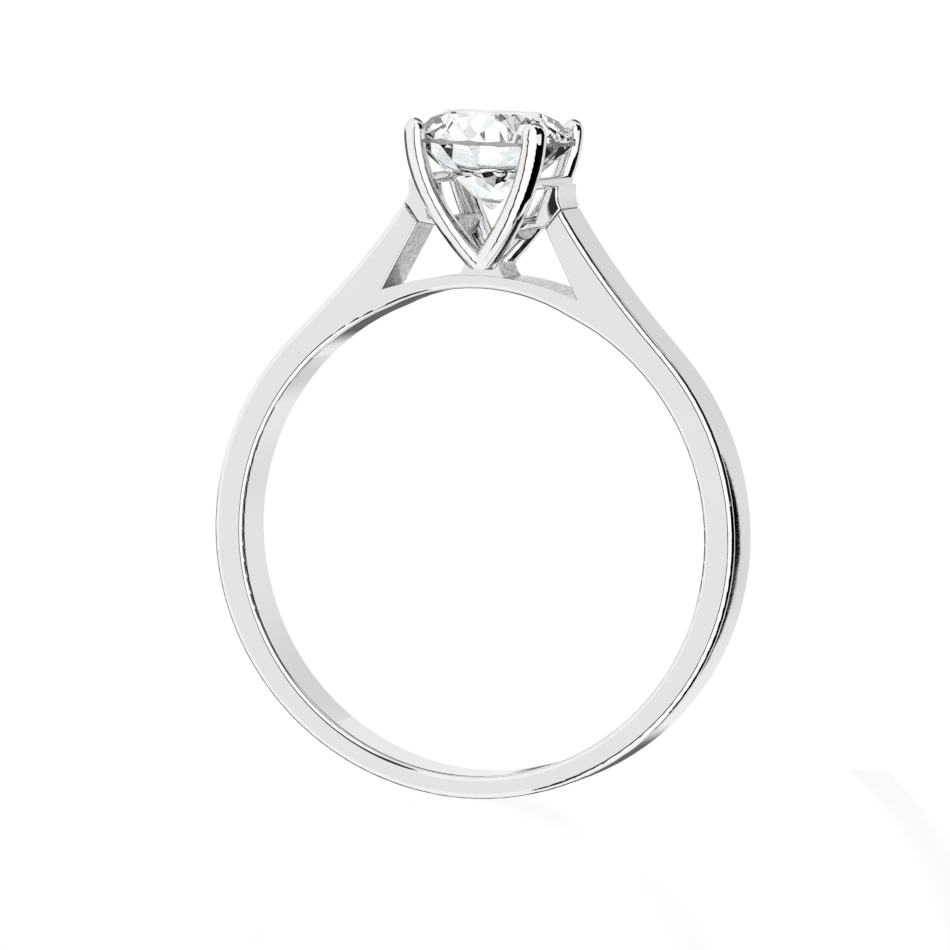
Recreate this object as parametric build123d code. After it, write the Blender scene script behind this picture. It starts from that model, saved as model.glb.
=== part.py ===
from build123d import *
import math
import os

# Solitaire ring with a cathedral shank and a four-prong head, in millimetres.
# The origin is the centre of the finger bore, +Y runs along the bore and +Z points to the stone.

# ---- Finger band ----
finger_diameter = 17.2        # inside diameter of the band
band_width = 2.3              # along the finger
side_thickness = 1.12         # of the band at the two sides of the finger
palm_thickness = 0.82         # of the band at the bottom
shoulder_angle = 46.0         # from the top of the ring to where the shoulders leave the round band
outer_edge_radius = 0.22      # rounding along the outside edges
inner_edge_radius = 0.20      # comfort rounding along the bore
arm_edge_radius = 0.08        # rounding round the windows and the arm ends

# ---- Finger bridge below the head ----
bridge_angle = 23.0           # from the top of the ring to the lower corner of each window
bridge_end_thickness = 0.70   # where the bridge meets the shoulders
bridge_thickness = 0.46       # in the middle
bridge_rise = 0.17            # of the underside above the round bore

# ---- Stone: a round brilliant ----
stone_diameter = 5.8
girdle_thickness = 0.22
crown_height = 0.90
pavilion_depth = 2.38
table_diameter = 3.5
star_length = 0.50            # share of the crown that the star facets cover
lower_half_length = 0.77      # share of the pavilion that the lower halves cover
culet_clearance = 2.27        # from the top of the bridge to the point of the stone

# ---- Prongs ----
prong_width = 1.00            # of the oval section, along the edge of the stone
prong_depth = 0.74            # of the oval section, away from the stone
seat_bite = 0.13              # depth of the notch that holds the girdle
tip_overhang = 0.68           # from the top of the girdle to the top of a prong
tip_dome = 0.42               # height of the rounded end
prong_root_spread = 0.95      # from the middle of the ring to each pair of prong roots, along the finger
prong_root_height = 0.32      # from the top of the bridge to where the two prongs of a pair cross
prong_root_slope = 45.0       # steepness of a prong at its root, in degrees
prong_sweep = 2.12            # how far a prong keeps its slope before it turns up
prong_upright = 1.60          # how far down from its tip a prong stays upright
vee_floor = 0.24              # from the top of the bridge to the blunt point of each pair

# ---- Foot that carries the prongs ----
foot_half_width = 0.85        # on the bridge
foot_waist = 0.66             # half width at the top
foot_height = 0.48
foot_hollow = 0.07            # how far the flanks curve in

# ---- Shoulders and the lugs that join them to the head ----
arm_tip_out = 0.03            # arm tip beyond the girdle, away from the middle
arm_tip_drop = 2.13           # arm tip below the girdle
arm_tip_slope = 58.0
arm_end_width = 0.55          # across the slanted arm end, sideways
arm_end_height = 0.73         # across the slanted arm end, upwards
lug_inset = 0.06              # of the lug's faces from the faces of the band
lug_top_in = 0.10             # lug top inside the girdle
lug_top_drop = 1.35           # lug top below the girdle
lug_top_reach = 0.18          # inner corner of the lug top beyond the middle of the rail
lug_elbow_in = 0.95           # where the lug turns down towards the gallery bar, inside the girdle
lug_root_height = 0.36        # of the lug where it meets the gallery bar
lug_edge_radius = 0.09

# ---- Gallery: two low bars and two rails between the front and back prongs ----
bar_width = 0.56
bar_top_above_heel = 0.30     # top of the bar above the lower corner of the arm end
bar_end_height = 0.50
bar_middle_height = 0.80      # the underside sags to the middle
bar_in_from_prong = 0.03      # middle of the bar inside the middle of the prongs at its level
bar_end_drawback = 0.42       # of each bar end from the middle of the prong beside it
bar_edge_radius = 0.10
rail_diameter = 0.42
rail_out_from_prong = 0.25    # middle of the rail outside the middle of the prongs at its level
rail_above_lug = 0.06         # middle of the rail above the top of the lug

# ---- Derived levels and radii ----
bore_radius = finger_diameter / 2
side_radius = bore_radius + side_thickness
palm_radius = bore_radius + palm_thickness
bridge_top = bore_radius + bridge_rise + bridge_thickness
stone_radius = stone_diameter / 2
culet_level = bridge_top + culet_clearance
girdle_low = culet_level + pavilion_depth
girdle_top = girdle_low + girdle_thickness
table_level = girdle_top + crown_height
prong_reach = stone_radius - seat_bite + prong_depth / 2
prong_top = girdle_top + tip_overhang
far = 4 * side_radius


def at_angle(radius, degrees):
    """A point on a circle round the bore, at an angle from the top of the ring towards +X."""
    return Vector(radius * math.sin(math.radians(degrees)), radius * math.cos(math.radians(degrees)))


def heading(degrees):
    """A unit vector that leans towards the middle and climbs at an angle above the level."""
    return Vector(-math.cos(math.radians(degrees)), math.sin(math.radians(degrees)))


def mirrored(point):
    return Vector(-point.X, point.Y)


def plate(outline, width):
    """A flat outline drawn in the ring's plane, thickened evenly to both sides."""
    return extrude(Plane.XZ * make_face(outline), amount=width / 2, both=True)


def polygon_plate(points, width):
    return plate(Polyline(*points, close=True), width)


window_corner = at_angle(bore_radius + bridge_end_thickness, bridge_angle)
arm_tip = Vector(stone_radius + arm_tip_out, girdle_low - arm_tip_drop)
arm_heel = arm_tip - Vector(arm_end_width, arm_end_height)


def shoulder_curve():
    """The right outer contour, from the round band up to the arm tip."""
    start = at_angle(side_radius, shoulder_angle)
    reach = (arm_tip - start).length / 3
    return Bezier(start, start + heading(shoulder_angle) * reach,
                  arm_tip - heading(arm_tip_slope) * reach, arm_tip)


def band_outline():
    """The whole outside of the band, the two arms and the top of the bridge."""
    right_curve = shoulder_curve()
    left_curve = mirror(right_curve, about=Plane.YZ)
    side_sweep = 90 - shoulder_angle
    right_side = CenterArc((0, 0), side_radius, 0, side_sweep)
    left_side = CenterArc((0, 0), side_radius, 180 - side_sweep, side_sweep)
    palm = EllipticalCenterArc((0, 0), side_radius, palm_radius, 180, arc_size=180)
    arm_edges = Polyline(arm_tip, arm_heel, window_corner)
    other_arm_edges = mirror(arm_edges, about=Plane.YZ)
    bridge_edge = ThreePointArc(window_corner, (0, bridge_top), mirrored(window_corner))
    return [right_side, right_curve, arm_edges, bridge_edge, other_arm_edges, left_curve, left_side, palm]


def bore_outline():
    """The bore: round, and a little higher under the bridge."""
    seam = at_angle(bore_radius, bridge_angle)
    round_part = ThreePointArc(seam, (0, -bore_radius), mirrored(seam))
    arch = ThreePointArc(mirrored(seam), (0, bore_radius + bridge_rise), seam)
    return [round_part, arch]


def on_faces(edge):
    return abs(abs(edge.center().Y) - band_width / 2) < 1e-4 and edge.bounding_box().size.Y < 1e-4


def is_outside(edge):
    """Whether an edge of the blank lies along the outer contour of the band and arms."""
    middle = edge.position_at(0.5)
    beyond_middle = math.hypot(middle.X, middle.Z) > bore_radius + palm_thickness / 2
    above_bridge = middle.Z > 0 and abs(middle.X) < window_corner.X
    return beyond_middle and not above_bridge


def is_window(edge):
    """Whether an edge of the blank runs up the inner side of an arm or across its end."""
    middle = edge.position_at(0.5)
    straight = edge.geom_type == GeomType.LINE
    return straight and middle.Z > 0 and abs(middle.X) < window_corner.X


def is_bore(edge):
    middle = edge.position_at(0.5)
    return math.hypot(middle.X, middle.Z) < bore_radius + bridge_rise + 0.01


def band_blank():
    """Band, arms and bridge in one piece, with rounded edges, before it is parted into nodes."""
    blank = plate(band_outline(), band_width) - plate(bore_outline(), band_width)
    face_edges = blank.edges().filter_by(on_faces)
    blank = fillet(face_edges.filter_by(is_outside), outer_edge_radius)
    face_edges = blank.edges().filter_by(on_faces)
    blank = fillet(face_edges.filter_by(is_bore), inner_edge_radius)
    face_edges = blank.edges().filter_by(on_faces)
    return fillet(face_edges.filter_by(is_window), arm_edge_radius)


def largest(shape):
    return max(shape.solids(), key=lambda solid: solid.volume)


def on_right(shape):
    return max(shape.solids(), key=lambda solid: solid.center().X)


def parted_band():
    """The shank, the bridge and the two shoulders, cut from one blank so that they meet face to face."""
    blank = band_blank()
    wide = 2 * band_width
    top_wedge = polygon_plate([(0, 0), at_angle(far, shoulder_angle), at_angle(far, -shoulder_angle)], wide)
    above_bridge = (0, bridge_top + foot_height)
    under_head = polygon_plate([(0, 0), window_corner, above_bridge, mirrored(window_corner)], wide)
    shank = largest(blank - top_wedge)
    bridge = largest(blank & under_head)
    shoulders = (blank & top_wedge) - under_head
    right_shoulder = on_right(shoulders)
    left_shoulder = mirror(right_shoulder, about=Plane.YZ)
    return shank, bridge, left_shoulder, right_shoulder


def facet_plane(first, second, third):
    """The plane through three points of the stone, facing outwards."""
    normal = (second - first).cross(third - first).normalized()
    heart = Vector(0, 0, (girdle_low + girdle_top) / 2)
    if normal.dot(first - heart) < 0:
        normal = -normal
    return Plane(origin=first, z_dir=normal)


def around(radius, degrees, level):
    turn = math.radians(degrees)
    return Vector(radius * math.cos(turn), radius * math.sin(turn), level)


def stone_planes():
    """All facets of a round brilliant but the table: mains, stars and halves."""
    half_step = 22.5
    table_radius = table_diameter / 2
    table_flat = table_radius * math.cos(math.radians(half_step))
    crown_slope = crown_height / (stone_radius - table_radius)
    pavilion_slope = pavilion_depth / stone_radius
    star_radius = table_flat + star_length * (stone_radius - table_flat)
    star_foot = star_radius * math.cos(math.radians(half_step))
    star_level = girdle_top + (stone_radius - star_foot) * crown_slope
    ridge_radius = stone_radius * (1 - lower_half_length)
    ridge_level = culet_level + ridge_radius * math.cos(math.radians(half_step)) * pavilion_slope
    planes = []
    for step in range(8):
        angle = step * 2 * half_step
        next_angle = angle + 2 * half_step
        middle = angle + half_step
        side_way = around(1, angle + 90, 0)
        table_corner = around(table_radius, angle, table_level)
        crown_point = around(stone_radius, angle, girdle_top)
        low_point = around(stone_radius, angle, girdle_low)
        culet = Vector(0, 0, culet_level)
        star_point = around(star_radius, middle, star_level)
        ridge_point = around(ridge_radius, middle, ridge_level)
        planes.append(facet_plane(table_corner, crown_point, crown_point + side_way))
        planes.append(facet_plane(culet, low_point, low_point + side_way))
        planes.append(facet_plane(table_corner, around(table_radius, next_angle, table_level), star_point))
        for corner in (angle, next_angle):
            rim_top = around(stone_radius, corner, girdle_top)
            rim_low = around(stone_radius, corner, girdle_low)
            planes.append(facet_plane(star_point, rim_top, around(stone_radius, middle, girdle_top)))
            planes.append(facet_plane(ridge_point, rim_low, around(stone_radius, middle, girdle_low)))
    return planes


def diamond():
    """A round blank between the culet and the table, with every facet ground off in turn."""
    height = table_level - culet_level
    stone = Pos(0, 0, culet_level + height / 2) * Cylinder(stone_radius, height)
    for plane in stone_planes():
        stone = split(stone, bisect_by=plane, keep=Keep.BOTTOM)
    return stone


def prong_path():
    """The middle line of the front right prong: its curved part and the way it leans out."""
    corner_offset = prong_reach / math.sqrt(2)
    root = Vector(0, -prong_root_spread, bridge_top + prong_root_height)
    run = Vector(corner_offset, prong_root_spread - corner_offset, 0)
    outwards = run.normalized()
    up = Vector(0, 0, 1)
    slope = math.radians(prong_root_slope)
    climb = outwards * math.cos(slope) + up * math.sin(slope)
    shoulder_level = prong_top - tip_dome
    end = root + run + up * (shoulder_level - root.Z)
    curve = Bezier(root, root + climb * prong_sweep, end - up * prong_upright, end)
    return curve, climb, outwards


def prong_blank():
    """The front right prong before it is seated: a swept bar, and the plane of its domed end."""
    curve, climb, outwards = prong_path()
    root = curve @ 0
    end = curve @ 1
    up = Vector(0, 0, 1)
    lead_in = Line(root - climb * prong_depth, root)
    path = Wire([lead_in.edge(), curve.edge()])
    across = outwards.cross(up)
    start_plane = Plane(origin=path @ 0, x_dir=across, z_dir=climb)
    section = Ellipse(prong_width / 2, prong_depth / 2)
    bar = sweep(start_plane * section, path=path)
    end_plane = Plane(origin=end, x_dir=across, z_dir=up)
    return bar, end_plane, section


def domed_end(end_plane, section):
    """The rounded top of a prong: its section drawn in along an ellipse."""
    rings = []
    for share in (0.0, 0.3, 0.55, 0.76, 0.9, 0.975):
        level = Plane(origin=end_plane.origin + Vector(0, 0, share * tip_dome),
                      x_dir=end_plane.x_dir, z_dir=end_plane.z_dir)
        rings.append(level * scale(section, math.sqrt(1 - share * share)))
    return loft(rings)


def front_right_prong(stone):
    bar, end_plane, section = prong_blank()
    whole = bar + domed_end(end_plane, section)
    right_of_pair = Pos(far / 2, 0, bridge_top + vee_floor + far / 2) * Box(far, far, far)
    return largest((whole & right_of_pair) - stone)


def head_foot(prongs, bridge):
    """The flared block on the bridge that both pairs of prongs stand in."""
    top = bridge_top + foot_height
    low = bridge_top - bridge_thickness / 2
    waist = (foot_half_width + foot_waist) / 2 - foot_hollow
    flank = ThreePointArc((foot_half_width, bridge_top), (waist, bridge_top + foot_height / 2), (foot_waist, top))
    other_flank = mirror(flank, about=Plane.YZ)
    lid = Line((foot_waist, top), (-foot_waist, top))
    base = Polyline((foot_half_width, bridge_top), (foot_half_width, low),
                    (-foot_half_width, low), (-foot_half_width, bridge_top))
    block = plate([flank, lid, other_flank, base], band_width - 2 * inner_edge_radius)
    return largest(block - bridge - prongs)


def prong_middle(level):
    """The point of the front right prong's middle line nearest to a level."""
    curve = prong_path()[0]
    points = [curve @ (step / 200) for step in range(201)]
    return min(points, key=lambda point: abs(point.Z - level))


def bar_middle():
    """Where the right gallery bar crosses the ring's plane: its middle and the level of its top."""
    top = arm_heel.Y + bar_top_above_heel
    prong = prong_middle(top - bar_end_height / 2)
    return Vector(prong.X - bar_in_from_prong, top), -prong.Y - bar_end_drawback


def gallery_bar(prongs):
    """The low bar on the right, between the front and the back prong, with a sagging underside."""
    middle, half_length = bar_middle()
    top_edge = Line((-half_length, middle.Y), (half_length, middle.Y))
    end_level = middle.Y - bar_end_height
    sides = [Line((end, middle.Y), (end, end_level)) for end in (-half_length, half_length)]
    sag = ThreePointArc((-half_length, end_level), (0, middle.Y - bar_middle_height), (half_length, end_level))
    outline = Plane.YZ * make_face([top_edge, *sides, sag])
    bar = Pos(middle.X, 0, 0) * extrude(outline, amount=bar_width / 2, both=True)
    long_edges = bar.edges().filter_by(lambda edge: edge.bounding_box().size.Y > half_length)
    bar = fillet(long_edges, bar_edge_radius)
    return nearest_middle(bar - prongs)


def rail_middle():
    """Where the right gallery rail crosses the ring's plane, and how far it runs to each side."""
    level = girdle_low - lug_top_drop + rail_above_lug
    prong = prong_middle(level)
    return Vector(prong.X + rail_out_from_prong, level), -prong.Y


def gallery_rail(prongs):
    """The upper rail on the right, at the top of the lug."""
    middle, half_length = rail_middle()
    section = Plane.XZ * Pos(middle.X, middle.Y) * Circle(rail_diameter / 2)
    rail = extrude(section, amount=half_length, both=True)
    return nearest_middle(rail - prongs)


def nearest_middle(shape):
    return min(shape.solids(), key=lambda solid: abs(solid.center().Y))


def lug(shoulder, bar, rail, prongs):
    """The right lug: it carries on from the arm end to the gallery bar and up to the rail."""
    top_level = girdle_low - lug_top_drop
    top_out = Vector(stone_radius - lug_top_in, top_level)
    top_in = Vector(rail_middle()[0].X + lug_top_reach, top_level)
    middle = bar_middle()[0]
    root_top = middle - Vector(0, bar_edge_radius)
    elbow = Vector(stone_radius - lug_elbow_in, root_top.Y)
    root_low = root_top - Vector(0, lug_root_height)
    outside = Bezier(arm_tip, arm_tip + heading(arm_tip_slope) * (top_out - arm_tip).length / 2, top_out)
    rest = Polyline(top_out, top_in, elbow, root_top, root_low, arm_heel, arm_tip)
    block = plate([outside, rest], band_width - 2 * lug_inset)
    long_edges = block.edges().filter_by(lambda edge: edge.bounding_box().size.Y < 1e-4)
    block = fillet(long_edges, lug_edge_radius)
    return largest(block - shoulder - bar - rail - prongs)


def save(name, shape):
    shape.label = name
    export_step(shape, f"parts/{name}.step")


def main():
    os.makedirs("parts", exist_ok=True)
    shank, bridge, left_shoulder, right_shoulder = parted_band()
    stone = diamond()
    front_right = front_right_prong(stone)
    front_left = mirror(front_right, about=Plane.YZ)
    back_right = mirror(front_right, about=Plane.XZ)
    back_left = mirror(front_left, about=Plane.XZ)
    right_prongs = front_right + back_right
    prongs = right_prongs + front_left + back_left
    foot = head_foot(prongs, bridge)
    right_bar = gallery_bar(right_prongs)
    right_rail = gallery_rail(right_prongs)
    right_lug = lug(right_shoulder, right_bar, right_rail, right_prongs)

    save("shank", shank)
    save("finger_bridge", bridge)
    save("left_shoulder", left_shoulder)
    save("right_shoulder", right_shoulder)
    save("head_foot", foot)
    save("front_left_prong", front_left)
    save("front_right_prong", front_right)
    save("back_left_prong", back_left)
    save("back_right_prong", back_right)
    for name, piece in (("gallery_bar", right_bar), ("gallery_rail", right_rail), ("lug", right_lug)):
        save(f"right_{name}", piece)
        save(f"left_{name}", mirror(piece, about=Plane.YZ))
    save("diamond", stone)


main()
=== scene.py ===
import logging
import math
from dataclasses import dataclass, field
from enum import Enum
from typing import Callable, Iterable

import bpy
from mathutils import Matrix, Vector

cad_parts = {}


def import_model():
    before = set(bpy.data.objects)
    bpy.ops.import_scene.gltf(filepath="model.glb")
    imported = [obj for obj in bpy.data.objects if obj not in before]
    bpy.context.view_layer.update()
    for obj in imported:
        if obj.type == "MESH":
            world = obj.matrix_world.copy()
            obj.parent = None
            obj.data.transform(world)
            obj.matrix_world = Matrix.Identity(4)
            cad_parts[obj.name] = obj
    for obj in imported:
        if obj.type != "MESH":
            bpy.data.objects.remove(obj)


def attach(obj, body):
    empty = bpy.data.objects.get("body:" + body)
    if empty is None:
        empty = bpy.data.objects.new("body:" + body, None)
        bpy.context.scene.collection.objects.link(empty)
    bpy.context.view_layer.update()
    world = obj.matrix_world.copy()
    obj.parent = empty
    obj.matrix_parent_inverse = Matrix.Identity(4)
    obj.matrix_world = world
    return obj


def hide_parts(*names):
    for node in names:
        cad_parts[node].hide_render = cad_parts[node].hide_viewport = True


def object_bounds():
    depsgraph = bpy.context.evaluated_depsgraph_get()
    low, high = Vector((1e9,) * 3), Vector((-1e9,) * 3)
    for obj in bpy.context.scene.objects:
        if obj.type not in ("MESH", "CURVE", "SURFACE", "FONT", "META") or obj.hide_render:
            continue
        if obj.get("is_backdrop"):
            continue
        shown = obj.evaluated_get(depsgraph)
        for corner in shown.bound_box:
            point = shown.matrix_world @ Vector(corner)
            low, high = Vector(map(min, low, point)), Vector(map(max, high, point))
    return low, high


LOG = logging.getLogger("solitaire_ring")
MM = 0.001
BODY = "root"

FaceTest = Callable[[Vector, Vector], bool]


class Slot(Enum):
    """The material slots that the part's record names."""

    WHITE_GOLD = "white_gold"
    STONE = "stone"


class Skin(Enum):
    """How far the goldsmith took a metal surface; the as-cast skin also carries painted shade."""

    MIRROR = 0
    # rough as-cast metal whose dark tone is painted shade
    AS_CAST_AND_SHADE = 1


def deselect_all() -> None:
    """Deselect every object."""
    for other in bpy.context.selected_objects:
        other.select_set(False)


def select_only(piece: bpy.types.Object) -> None:
    """Make one object the only selected and active one.

    Args:
        piece: the object to work on.
    """
    deselect_all()
    piece.select_set(True)
    bpy.context.view_layer.objects.active = piece


def apply_modifiers(piece: bpy.types.Object) -> None:
    """Apply every modifier of an object, from the top of its stack.

    Args:
        piece: the object whose modifiers become part of its mesh.
    """
    select_only(piece)
    for modifier in list(piece.modifiers):
        bpy.ops.object.modifier_apply(modifier=modifier.name)


class NodeDesk:
    """A small helper that adds and links nodes in one node tree."""

    def __init__(self, tree: bpy.types.NodeTree) -> None:
        """Keep the tree and its links at hand.

        Args:
            tree: the node tree that the nodes go into.
        """
        self.tree = tree

    def add(self, kind: str, **settings: object) -> bpy.types.Node:
        """Add a node and set its properties.

        Args:
            kind: the node type's name in Blender.
            **settings: properties of the node.

        Returns:
            The new node.
        """
        node = self.tree.nodes.new(kind)
        for key, value in settings.items():
            setattr(node, key, value)
        return node

    def feed(self, node: bpy.types.Node, socket: str | int, source: object) -> None:
        """Give an input either a link or a plain value.

        Args:
            node: the node that has the input.
            socket: the input's name or number.
            source: an output socket, or a value.
        """
        if isinstance(source, bpy.types.NodeSocket):
            self.tree.links.new(source, node.inputs[socket])
        else:
            node.inputs[socket].default_value = source

    def math(self, operation: str, *terms: object) -> bpy.types.NodeSocket:
        """Add a math node.

        Args:
            operation: the math node's operation.
            *terms: its inputs, as sockets or numbers.

        Returns:
            The value that it puts out.
        """
        node = self.add("ShaderNodeMath", operation=operation)
        for number, term in enumerate(terms):
            self.feed(node, number, term)
        return node.outputs[0]

    def ramp(self, value: object, low: float, high: float, out_low: float = 0.0,
             out_high: float = 1.0, soft: bool = True) -> bpy.types.NodeSocket:
        """Map a value from one range to another, clamped at both ends.

        Args:
            value: the value to map.
            low: where the range starts.
            high: where it ends.
            out_low: the result at the start.
            out_high: the result at the end.
            soft: whether the change eases in and out.

        Returns:
            The mapped value.
        """
        kind = "SMOOTHSTEP" if soft else "LINEAR"
        node = self.add("ShaderNodeMapRange", interpolation_type=kind)
        for socket, source in enumerate((value, low, high, out_low, out_high)):
            self.feed(node, socket, source)
        return node.outputs[0]

    def mix(self, factor: object, first: object, second: object) -> bpy.types.NodeSocket:
        """Mix two colours.

        Args:
            factor: 0 for the first colour, 1 for the second.
            first: a colour or an output socket.
            second: a colour or an output socket.

        Returns:
            The mixed colour.
        """
        node = self.add("ShaderNodeMix", data_type="RGBA")
        self.feed(node, 0, factor)
        self.feed(node, 6, first)
        self.feed(node, 7, second)
        return node.outputs[2]

    def noise(self, vector: object, scale: object, detail: float,
              roughness: float = 0.5) -> bpy.types.NodeSocket:
        """Add a noise texture.

        Args:
            vector: where the noise is read.
            scale: its frequency, per metre.
            detail: its octaves.
            roughness: how strong the finer octaves are.

        Returns:
            The noise, from 0 to 1.
        """
        node = self.add("ShaderNodeTexNoise")
        self.feed(node, "Vector", vector)
        self.feed(node, "Scale", scale)
        self.feed(node, "Detail", detail)
        self.feed(node, "Roughness", roughness)
        return node.outputs[0]


def new_finish(name: str) -> tuple[bpy.types.Material, NodeDesk]:
    """Make a material with nodes.

    Args:
        name: the finish's name.

    Returns:
        The material and the helper for its nodes.
    """
    material = bpy.data.materials.new(name)
    material.use_nodes = True
    return material, NodeDesk(material.node_tree)


def surface_group() -> bpy.types.NodeTree:
    """Make the node group that gives metal its buffing marks, haze and small pits.

    Returns:
        The group, with inputs for place and strength, and outputs Tone, Haze and Height.
    """
    tree = bpy.data.node_groups.new("goldsmith_surface", "ShaderNodeTree")
    for name, kind, value in (("Vector", "NodeSocketVector", None),
                              ("Mark Scale", "NodeSocketFloat", 14000.0),
                              ("Haze Scale", "NodeSocketFloat", 600.0),
                              ("Pit Scale", "NodeSocketFloat", 7000.0),
                              ("Pitting", "NodeSocketFloat", 0.0)):
        socket = tree.interface.new_socket(name=name, in_out="INPUT", socket_type=kind)
        if value is not None:
            socket.default_value = value
    for name in ("Tone", "Haze", "Height"):
        tree.interface.new_socket(name=name, in_out="OUTPUT", socket_type="NodeSocketFloat")
    desk = NodeDesk(tree)
    entry = desk.add("NodeGroupInput").outputs
    leave = desk.add("NodeGroupOutput")
    stretch = desk.add("ShaderNodeMapping")
    desk.feed(stretch, "Vector", entry["Vector"])
    stretch.inputs["Scale"].default_value = (1.0, 0.12, 1.0)
    marks = desk.noise(stretch.outputs[0], entry["Mark Scale"], 3.0, 0.6)
    haze = desk.noise(entry["Vector"], entry["Haze Scale"], 2.0)
    pits = desk.noise(entry["Vector"], entry["Pit Scale"], 4.0, 0.65)
    # the pits darken the tone; with the as-cast finish's near-black colour this mottle is painted shade
    pitted = desk.math("MULTIPLY", desk.ramp(pits, 0.38, 0.62), entry["Pitting"])
    faint_haze = desk.math("MULTIPLY", haze, 0.4)
    faint_marks = desk.math("MULTIPLY", marks, 0.5)
    desk.feed(leave, "Tone", desk.math("MULTIPLY_ADD", pitted, 0.6, faint_haze))
    desk.feed(leave, "Haze", desk.math("MULTIPLY_ADD", haze, 0.5, faint_marks))
    desk.feed(leave, "Height", desk.math("MULTIPLY_ADD", pitted, 8.0, marks))
    return tree


@dataclass(frozen=True)
class MetalFinish:
    """Rhodium-plated white gold at one stage of its finish."""

    name: str
    bright: tuple[float, float, float]
    # the dark end of the tone: random greyer metal on the mirror finish, painted shade on the as-cast
    # finish
    dull_and_shade: tuple[float, float, float]
    least_roughness: float
    most_roughness: float
    pitting: float
    relief: float

    def build(self, group: bpy.types.NodeTree) -> bpy.types.Material:
        """Make the material.

        Args:
            group: the shared surface group.

        Returns:
            The material.
        """
        material, desk = new_finish(self.name)
        shader = material.node_tree.nodes["Principled BSDF"]
        place = desk.add("ShaderNodeTexCoord").outputs["Object"]
        surface = desk.add("ShaderNodeGroup", node_tree=group)
        desk.feed(surface, "Vector", place)
        desk.feed(surface, "Pitting", self.pitting)
        # where pits and haze are strong the colour moves to the dark end, which is painted shade on the
        # as-cast finish
        tone = desk.mix(surface.outputs["Tone"], (*self.bright, 1.0), (*self.dull_and_shade, 1.0))
        desk.feed(shader, "Base Color", tone)
        desk.feed(shader, "Roughness", desk.ramp(surface.outputs["Haze"], 0.3, 0.7,
                                                 self.least_roughness, self.most_roughness))
        shader.inputs["Metallic"].default_value = 1.0
        bump = desk.add("ShaderNodeBump")
        bump.inputs["Strength"].default_value = 1.0
        bump.inputs["Distance"].default_value = self.relief
        desk.feed(bump, "Height", surface.outputs["Height"])
        desk.feed(shader, "Normal", bump.outputs[0])
        return material


@dataclass(frozen=True)
class DiamondFinish:
    """A colourless cut diamond with a faint cool body tint."""

    name: str
    clear: tuple[float, float, float] = (1.0, 1.0, 1.0)
    cool: tuple[float, float, float] = (0.925, 0.972, 1.0)
    tint_scale: float = 900.0
    index: float = 2.417
    roughness: float = 0.0

    def build(self) -> bpy.types.Material:
        """Make the material.

        Returns:
            The material.
        """
        material, desk = new_finish(self.name)
        shader = material.node_tree.nodes["Principled BSDF"]
        place = desk.add("ShaderNodeTexCoord").outputs["Object"]
        clouds = desk.noise(place, self.tint_scale, 1.0)
        tint = desk.mix(desk.ramp(clouds, 0.35, 0.65), (*self.clear, 1.0), (*self.cool, 1.0))
        desk.feed(shader, "Base Color", tint)
        shader.inputs["Roughness"].default_value = self.roughness
        shader.inputs["IOR"].default_value = self.index
        shader.inputs["Transmission Weight"].default_value = 1.0
        return material


@dataclass
class Workshop:
    """The finishes that the ring's pieces share."""

    mirror: bpy.types.Material = field(init=False)
    as_cast_and_shade: bpy.types.Material = field(init=False)
    diamond: bpy.types.Material = field(init=False)
    girdle: bpy.types.Material = field(init=False)

    def __post_init__(self) -> None:
        """Mix every finish once."""
        group = surface_group()
        self.mirror = MetalFinish("white_gold_mirror", (0.82, 0.82, 0.82), (0.76, 0.76, 0.76),
                                  0.01, 0.045, 0.0, 3e-8).build(group)
        # rough as-cast metal whose near-black pitted tone is painted shade on recessed and hidden faces
        self.as_cast_and_shade = MetalFinish("white_gold_as_cast", (0.74, 0.74, 0.735), (0.12, 0.12, 0.12),
                                   0.08, 0.22, 1.0, 2.0e-7).build(group)
        self.diamond = DiamondFinish("brilliant_diamond").build()
        self.girdle = DiamondFinish("bruted_girdle", roughness=0.45).build()


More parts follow.
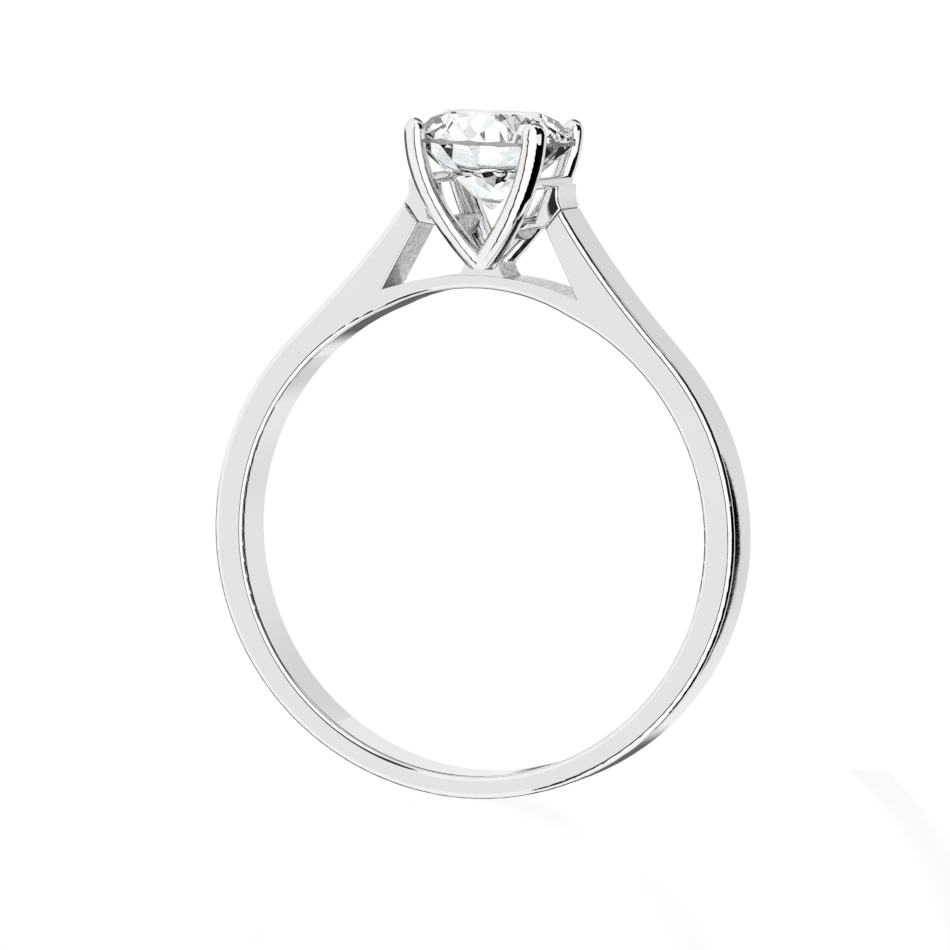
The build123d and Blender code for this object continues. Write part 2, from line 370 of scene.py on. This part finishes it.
@dataclass
class MetalWork:
    """One metal sub-assembly: CAD nodes finished into smooth, polished pieces."""

    nodes: tuple[str, ...]
    workshop: Workshop
    smooth_angle: float = 48.0
    weld: float = 2e-7
    flatness: float = 0.25
    straight_walls: bool = False
    flat_tilt: float = 0.99999
    wall_tilt: float = 0.01
    same_side: float = 0.6

    def finish_piece(self, name: str, cast_and_shade_face: FaceTest | None = None) -> bpy.types.Object:
        """Weld, clean and smooth one node's surface, and dress it.

        Args:
            name: the CAD node.
            cast_and_shade_face: tells from a face's centre and normal whether it was left as cast and gets
                painted shade.

        Returns:
            The finished piece.
        """
        source = bpy.data.objects[name]
        piece = bpy.data.objects.new(f"{name}_polished", source.data.copy())
        bpy.context.scene.collection.objects.link(piece)
        self.weld_surface(piece)
        self.smooth_surface(piece)
        self.dress(piece, cast_and_shade_face)
        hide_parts(name)
        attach(piece, BODY)
        LOG.info("finished %s with %d faces", piece.name, len(piece.data.polygons))
        return piece

    def weld_surface(self, piece: bpy.types.Object) -> None:
        """Merge loose triangles into one skin, with one face on each flat.

        Args:
            piece: the piece to weld.
        """
        select_only(piece)
        bpy.ops.object.mode_set(mode="EDIT")
        bpy.ops.mesh.select_all(action="SELECT")
        bpy.ops.mesh.remove_doubles(threshold=self.weld)
        bpy.ops.mesh.dissolve_limited(angle_limit=math.radians(self.flatness))
        bpy.ops.mesh.normals_make_consistent(inside=False)
        bpy.ops.object.mode_set(mode="OBJECT")
        if piece.data.has_custom_normals:
            bpy.ops.mesh.customdata_custom_splitnormals_clear()

    def smooth_surface(self, piece: bpy.types.Object) -> None:
        """Shade roundings smoothly and keep the flats truly flat.

        Args:
            piece: the piece to smooth.
        """
        select_only(piece)
        bpy.ops.object.shade_smooth_by_angle(angle=math.radians(self.smooth_angle), keep_sharp_edges=False)
        weighted = piece.modifiers.new("even_shading", "WEIGHTED_NORMAL")
        weighted.mode = "FACE_AREA"
        weighted.weight = 100
        weighted.keep_sharp = True
        apply_modifiers(piece)
        if self.straight_walls:
            self.square_shading(piece)

    def square_shading(self, piece: bpy.types.Object) -> None:
        """Shade flats and straight walls square to their surface, so that roundings end without a bend.

        Args:
            piece: the piece, whose walls run along the finger.
        """
        mesh = piece.data
        flats: dict[int, Vector] = {}
        walls: set[int] = set()
        for face in mesh.polygons:
            if abs(face.normal.y) > self.flat_tilt:
                flats.update((corner, Vector((0.0, math.copysign(1.0, face.normal.y), 0.0)))
                             for corner in face.vertices)
            elif abs(face.normal.y) < self.wall_tilt:
                walls.update(face.vertices)
        shading = []
        for loop, corner in zip(mesh.loops, mesh.corner_normals):
            normal = corner.vector.copy()
            flat = flats.get(loop.vertex_index)
            if flat is not None and normal.dot(flat) > self.same_side:
                normal = flat
            elif loop.vertex_index in walls and abs(normal.y) < 1.0 - self.same_side:
                normal = Vector((normal.x, 0.0, normal.z)).normalized()
            shading.append(normal)
        mesh.normals_split_custom_set(shading)

    def dress(self, piece: bpy.types.Object, cast_and_shade_face: FaceTest | None) -> None:
        """Give a piece its finishes, face by face, with painted shade on the as-cast faces.

        Args:
            piece: the piece to dress.
            cast_and_shade_face: tells whether a face was left as cast and gets painted shade.
        """
        piece.data.materials.clear()
        piece.data.materials.append(self.workshop.mirror)
        piece.data.materials.append(self.workshop.as_cast_and_shade)
        for face in piece.data.polygons:
            # as-cast faces get the rough finish whose dark tone is painted shade
            as_cast_and_shade = cast_and_shade_face is not None and cast_and_shade_face(face.center, face.normal)
            face.material_index = Skin.AS_CAST_AND_SHADE.value if as_cast_and_shade else Skin.MIRROR.value


@dataclass
class Band(MetalWork):
    """The shank, the bridge over the finger and the two cathedral shoulders."""

    straight_walls: bool = True
    window_half_width: float = 3.75 * MM
    flat_share: float = 0.9
    wall_lean: float = 0.6
    square_lean: float = 0.2
    arm_end_level: float = 10.95 * MM
    arm_tip_from_middle: float = 2.95 * MM
    step_inward: float = 0.8
    step_upward: float = 0.6

    def is_shaded_arm_recess(self, centre: Vector, normal: Vector) -> bool:
        """Tell whether a face lines a window, or the step where an arm meets its lug: recesses that get the
        as-cast finish with painted shade.

        Args:
            centre: the face's centre.
            normal: its normal.

        Returns:
            True for such a face.
        """
        inward = -normal.x * math.copysign(1.0, centre.x)
        square = abs(normal.y) < self.square_lean
        wall = abs(centre.x) < self.window_half_width and inward > self.wall_lean and square
        facing = self.step_inward * inward + self.step_upward * normal.z
        step = centre.z > self.arm_end_level and facing > self.square_lean
        return wall or (step and abs(centre.x) < self.arm_tip_from_middle)

    def is_shaded_bridge_top(self, centre: Vector, normal: Vector) -> bool:
        """Tell whether a face is on the upper side of the bridge, which gets the as-cast finish with
        painted shade.

        Args:
            centre: the face's centre.
            normal: its normal.

        Returns:
            True for such a face.
        """
        return normal.z > self.flat_share and abs(normal.y) < self.square_lean

    def build(self) -> list[bpy.types.Object]:
        """Finish the band's pieces.

        Returns:
            The pieces.
        """
        # faces that get the as-cast finish, whose dark tone is painted shade
        shaded_skins = {"finger_bridge": self.is_shaded_bridge_top,
                 "left_shoulder": self.is_shaded_arm_recess,
                 "right_shoulder": self.is_shaded_arm_recess}
        return [self.finish_piece(name, shaded_skins.get(name)) for name in self.nodes]


@dataclass
class Head(MetalWork):
    """The foot, the lugs, the gallery and the four prongs."""

    # foot flanks steeper than this get the as-cast finish with painted shade
    shaded_flank_lean: float = 0.5

    def build(self) -> list[bpy.types.Object]:
        """Finish the head's pieces.

        Returns:
            The pieces.
        """
        return [self.finish_piece(name, self.cast_and_shade_test_of(name)) for name in self.nodes]

    def cast_and_shade_test_of(self, name: str) -> FaceTest | None:
        """Tell which faces of a piece are left as cast, where the polishing wheel can't reach, and get
        painted shade.

        Args:
            name: the CAD node.

        Returns:
            The test for such faces, or None.
        """
        # the gallery bars whole and the foot's flanks get the as-cast finish, whose dark tone is painted
        # shade
        if "gallery_bar" in name:
            return lambda centre, normal: True
        if name == "head_foot":
            return lambda centre, normal: abs(normal.x) > self.shaded_flank_lean
        return None


@dataclass
class Stone:
    """The round brilliant, whose facets come flat from the CAD."""

    node: str
    workshop: Workshop
    girdle_tilt: float = 0.08

    def dress(self) -> None:
        """Give the stone its finish."""
        stone = bpy.data.objects[self.node]
        stone.data.materials.clear()
        stone.data.materials.append(self.workshop.diamond)
        stone.data.materials.append(self.workshop.girdle)
        for face in stone.data.polygons:
            face.material_index = int(abs(face.normal.z) < self.girdle_tilt)
        LOG.info("dressed %s", stone.name)


@dataclass(frozen=True)
class Flag:
    """A card on the tent, by the directions that it covers, in degrees.

    Turn is counted from the front towards the right, and climb from the level upwards.
    A card with a darkness below zero is a lamp, brighter than the tent.
    """

    turn_from: float
    turn_to: float
    climb_from: float
    climb_to: float
    softness: float
    darkness: float


@dataclass
class Studio:
    """A white light tent with cards, two loose black cards, a pale floor and the camera."""

    flags: tuple[Flag, ...]
    tent_light: float = 1.09
    back_light: float = 0.95
    back_from: float = -0.2
    back_full: float = 0.8
    stone_light: float = 1.4
    stone_lift: float = 0.65
    card_distance: float = 45 * MM
    card_front: float = -17 * MM
    card_back: float = 13 * MM
    card_low: float = -60 * MM
    card_high: float = 6 * MM
    crescent_steps: int = 96
    crescent_turn: float = -5.0
    crescent_top: float = 24.0
    crescent_foot: float = -85.0
    crescent_radius: float = 12.10 * MM
    crescent_top_draw: float = 0.25 * MM
    crescent_foot_draw: float = 0.38 * MM
    crescent_top_bend: float = 2.0
    crescent_foot_bend: float = 1.2
    crescent_width: float = 1.2 * MM
    crescent_middle: tuple[float, float] = (2.33 * MM, 0.46 * MM)
    crescent_back: float = 15 * MM
    floor_half_size: float = 3.0
    floor_gloss: float = 0.08
    floor_light: float = 1.03
    floor_roughness: float = 0.12
    camera_turn: float = 18.38
    camera_climb: float = 5.03
    camera_roll: float = 1.86
    camera_distance: float = 300 * MM
    aim_up: float = 2.06 * MM
    aim_left: float = 0.22 * MM
    lens: float = 319.3
    sensor: float = 36.0
    nearest: float = 0.01
    farthest: float = 20.0

    def build(self, floor_level: float) -> None:
        """Set up light, floor and camera.

        Args:
            floor_level: the height that the ring stands at.
        """
        self.build_tent()
        self.build_floor(floor_level)
        self.build_side_card()
        self.build_back_card()
        self.build_camera()
        bpy.context.scene.view_settings.view_transform = "Standard"
        LOG.info("studio ready")

    def window(self, desk: NodeDesk, value: object, low: float, high: float,
               soft: float) -> bpy.types.NodeSocket:
        """Make a mask that is 1 between two angles.

        Args:
            desk: the node tree's helper.
            value: the angle, in radians.
            low: where the mask starts, in degrees.
            high: where it ends, in degrees.
            soft: the width of its soft edge, in degrees.

        Returns:
            The mask.
        """
        rise = desk.ramp(value, math.radians(low - soft / 2), math.radians(low + soft / 2))
        fall = desk.ramp(value, math.radians(high - soft / 2), math.radians(high + soft / 2), 1.0, 0.0)
        return desk.math("MULTIPLY", rise, fall)

    def build_tent(self) -> None:
        """Light the scene from all round, less what the flags hold back."""
        world = bpy.data.worlds.new("light_tent")
        bpy.context.scene.world = world
        world.use_nodes = True
        desk = NodeDesk(world.node_tree)
        direction = desk.add("ShaderNodeTexCoord").outputs["Generated"]
        axes = desk.add("ShaderNodeSeparateXYZ")
        desk.feed(axes, 0, direction)
        turn = desk.math("ARCTAN2", axes.outputs[0], desk.math("MULTIPLY", axes.outputs[1], -1.0))
        climb = desk.math("ARCSINE", axes.outputs[2])
        light = desk.ramp(axes.outputs[1], self.back_from, self.back_full, self.tent_light, self.back_light)
        for flag in self.flags:
            sideways = self.window(desk, turn, flag.turn_from, flag.turn_to, flag.softness)
            upwards = self.window(desk, climb, flag.climb_from, flag.climb_to, flag.softness)
            cover = desk.math("MULTIPLY", sideways, upwards)
            passed = desk.math("SUBTRACT", 1.0, desk.math("MULTIPLY", cover, flag.darkness))
            light = desk.math("MULTIPLY", light, passed)
        seen = desk.add("ShaderNodeLightPath").outputs["Is Camera Ray"]
        through_stone = desk.add("ShaderNodeLightPath").outputs["Is Transmission Ray"]
        lift = desk.math("MULTIPLY", through_stone, self.stone_lift)
        lifted = desk.math("MULTIPLY_ADD", desk.math("SUBTRACT", self.stone_light, light), lift, light)
        strength = desk.math("MAXIMUM", lifted, seen)
        background = world.node_tree.nodes["Background"]
        background.inputs["Color"].default_value = (1.0, 1.0, 1.0, 1.0)
        desk.feed(background, "Strength", strength)

    def build_floor(self, level: float) -> None:
        """Lay a pale, slightly glossy floor.

        Args:
            level: its height.
        """
        deselect_all()
        bpy.ops.mesh.primitive_plane_add(size=2 * self.floor_half_size, location=(0.0, 0.0, level))
        floor = bpy.context.active_object
        floor.name = "studio_floor"
        material, desk = new_finish("pale_floor")
        nodes = material.node_tree.nodes
        nodes.remove(nodes["Principled BSDF"])
        glow = desk.add("ShaderNodeEmission")
        glow.inputs["Strength"].default_value = self.floor_light
        gloss = desk.add("ShaderNodeBsdfGlossy")
        gloss.inputs["Roughness"].default_value = self.floor_roughness
        blend = desk.add("ShaderNodeMixShader")
        blend.inputs[0].default_value = self.floor_gloss
        material.node_tree.links.new(glow.outputs[0], blend.inputs[1])
        material.node_tree.links.new(gloss.outputs[0], blend.inputs[2])
        material.node_tree.links.new(blend.outputs[0], nodes["Material Output"].inputs[0])
        floor.data.materials.append(material)
        floor.visible_diffuse = False
        floor.visible_glossy = False
        floor.visible_transmission = False
        floor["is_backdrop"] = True

    def crescent_edge(self, turn: float) -> float:
        """Tell how far the back card's inner edge is from its middle.

        Args:
            turn: the angle above the level, in degrees.

        Returns:
            The radius of the inner edge there, in metres.
        """
        above = (turn - self.crescent_turn) / (self.crescent_top - self.crescent_turn)
        below = (turn - self.crescent_turn) / (self.crescent_foot - self.crescent_turn)
        if above > 0:
            return self.crescent_radius + self.crescent_top_draw * above ** self.crescent_top_bend
        return self.crescent_radius + self.crescent_foot_draw * below ** self.crescent_foot_bend

    def build_back_card(self) -> None:
        """Set a black crescent behind the ring, which draws the wide dark line down its right side."""
        middle_x, middle_z = self.crescent_middle
        outer_edge = self.crescent_radius + self.crescent_width
        inner, outer = [], []
        for step in range(self.crescent_steps + 1):
            share = step / self.crescent_steps
            turn = self.crescent_top + (self.crescent_foot - self.crescent_top) * share
            across, up = math.cos(math.radians(turn)), math.sin(math.radians(turn))
            edge = self.crescent_edge(turn)
            inner.append((middle_x + edge * across, self.crescent_back, middle_z + edge * up))
            outer.append((middle_x + outer_edge * across, self.crescent_back, middle_z + outer_edge * up))
        row = len(inner)
        faces = [(n, n + 1, row + n + 1, row + n) for n in range(self.crescent_steps)]
        mesh = bpy.data.meshes.new("back_card")
        mesh.from_pydata(inner + outer, [], faces)
        card = bpy.data.objects.new("back_card", mesh)
        bpy.context.scene.collection.objects.link(card)
        self.make_black_card(card)

    def build_side_card(self) -> None:
        """Hang a black card low on the right, which draws the dark line along the edges."""
        deselect_all()
        middle = ((self.card_front + self.card_back) / 2, (self.card_low + self.card_high) / 2)
        bpy.ops.mesh.primitive_plane_add(size=1.0, location=(self.card_distance, *middle),
                                         rotation=(0.0, math.pi / 2, 0.0))
        card = bpy.context.active_object
        card.name = "side_card"
        card.scale = (self.card_high - self.card_low, self.card_back - self.card_front, 1.0)
        self.make_black_card(card)

    def make_black_card(self, card: bpy.types.Object) -> None:
        """Give a card its black finish and keep it out of every view but reflections.

        Args:
            card: the card.
        """
        material, desk = new_finish(f"{card.name}_black")
        nodes = material.node_tree.nodes
        nodes.remove(nodes["Principled BSDF"])
        black = desk.add("ShaderNodeEmission")
        black.inputs["Strength"].default_value = 0.0
        material.node_tree.links.new(black.outputs[0], nodes["Material Output"].inputs[0])
        card.data.materials.append(material)
        card.visible_camera = False
        card.visible_diffuse = False
        card.visible_transmission = False
        card.visible_shadow = False
        card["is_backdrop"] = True

    def build_camera(self) -> None:
        """Place the camera in front of the ring, a little to the right and above."""
        turn = math.radians(self.camera_turn)
        climb = math.radians(self.camera_climb)
        roll = math.radians(self.camera_roll)
        outward = math.cos(climb)
        back = Vector((math.sin(turn) * outward, -math.cos(turn) * outward, math.sin(climb)))
        level_right = Vector((math.cos(turn), math.sin(turn), 0.0))
        level_up = back.cross(level_right)
        right = level_right * math.cos(roll) + level_up * math.sin(roll)
        up = level_up * math.cos(roll) - level_right * math.sin(roll)
        aim = up * self.aim_up - right * self.aim_left
        camera = bpy.data.objects.new("camera", bpy.data.cameras.new("camera"))
        bpy.context.scene.collection.objects.link(camera)
        camera.data.lens = self.lens
        camera.data.sensor_width = self.sensor
        camera.data.clip_start = self.nearest
        camera.data.clip_end = self.farthest
        turned = Matrix((right, up, back)).transposed().to_4x4()
        camera.matrix_world = Matrix.Translation(aim + back * self.camera_distance) @ turned
        bpy.context.scene.camera = camera


def tent_cards() -> tuple[Flag, ...]:
    """Place the cards on the tent, each for one tone or line in the polished metal.

    Returns:
        The cards.
    """
    return (
        # a soft grey beside the camera, for the front faces
        Flag(-34.0, -13.5, -18.0, 6.0, 3.0, 0.12),
        # black in front, for the thin line where the front faces end
        Flag(-12.0, 2.0, -60.0, 60.0, 3.0, 0.97),
        # a lamp on the right, for the bright line along the roundings
        Flag(4.0, 64.0, -60.0, 60.0, 4.0, -0.16),
        # black on the right, for the dark line along the roundings
        Flag(104.0, 134.0, -60.0, 45.0, 4.0, 0.995),
        # black high on the right, for the dark limbs of the prongs
        Flag(66.0, 110.0, 7.0, 70.0, 4.0, 0.99),
        # a soft grey behind, for the outside of the band
        Flag(162.0, 181.0, -14.0, 40.0, 12.0, 0.17),
        # black low behind, for the bore under the bridge
        Flag(172.0, 181.0, -70.0, -20.5, 3.0, 0.90),
        Flag(-181.0, -165.0, -70.0, -20.5, 3.0, 0.90),
        Flag(-172.0, -105.0, -60.0, -1.0, 5.0, 0.85),
        # black high behind, for the bottom of the bore
        Flag(150.0, 181.0, 25.0, 62.0, 4.0, 0.9),
        Flag(-181.0, -150.0, 25.0, 62.0, 4.0, 0.9),
    )


def main() -> None:
    """Load the frame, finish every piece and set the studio."""
    logging.basicConfig(level=logging.INFO, format="%(name)s: %(message)s")
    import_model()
    cad_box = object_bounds()
    workshop = Workshop()
    Band(("shank", "finger_bridge", "left_shoulder", "right_shoulder"), workshop).build()
    sides = ("left", "right")
    pairs = ("lug", "gallery_bar", "gallery_rail")
    prongs = tuple(f"{depth}_{side}_prong" for depth in ("front", "back") for side in sides)
    gallery = tuple(f"{side}_{piece}" for piece in pairs for side in sides)
    Head(("head_foot", *prongs, *gallery), workshop).build()
    Stone("diamond", workshop).dress()
    Studio(tent_cards()).build(cad_box[0].z)


if __name__ == "__main__":
    main()
